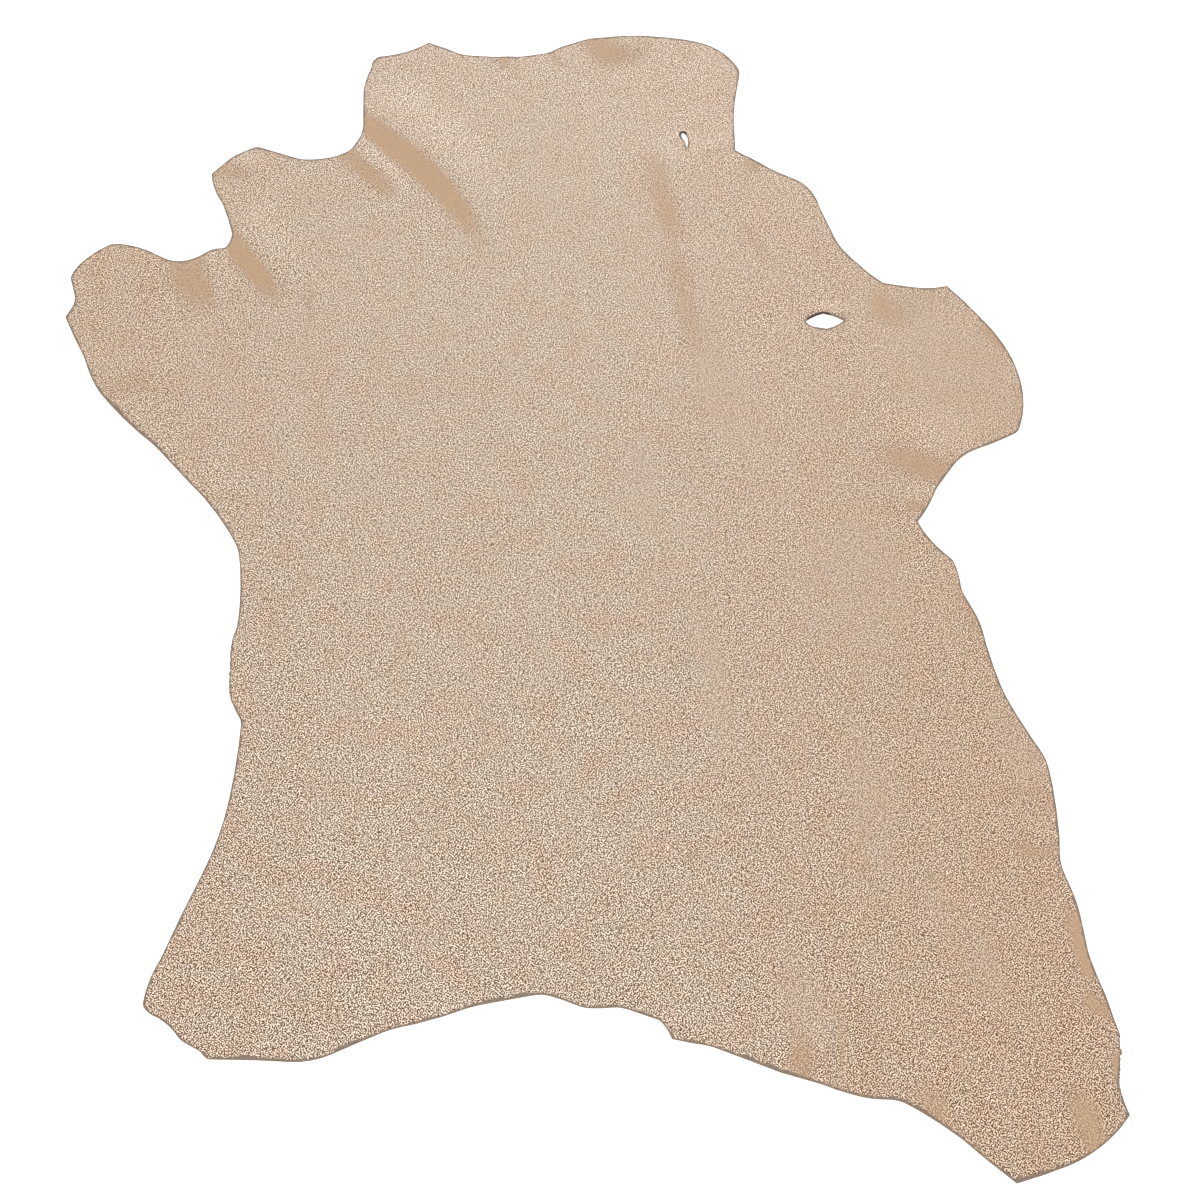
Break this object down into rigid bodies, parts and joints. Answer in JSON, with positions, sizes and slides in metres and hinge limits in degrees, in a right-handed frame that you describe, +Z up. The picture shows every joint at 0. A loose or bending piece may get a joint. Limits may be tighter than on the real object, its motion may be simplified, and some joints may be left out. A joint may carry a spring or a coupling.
{
  "type": "leather hide",
  "caption": "Small tanned hide lying flat, trimmed to the animal's outline with neck, forelegs and hind legs, soft ripples at its notches and rims, and natural flaw holes.",
  "frame": {"origin": "on the floor under the middle of the hide's bounding box", "axes": "+Y from the tail edge towards the neck, +X to the right with the neck away and the grain side up, +Z up out of the grain side"},
  "size_m": [0.838, 0.995, 0.0082],
  "materials": {
    "leather": "fine pebble grain with a champagne metallic foil, suede underside"
  },
  "bodies": {
    "root": {"hide": "leather"}
  },
  "joints": []
}
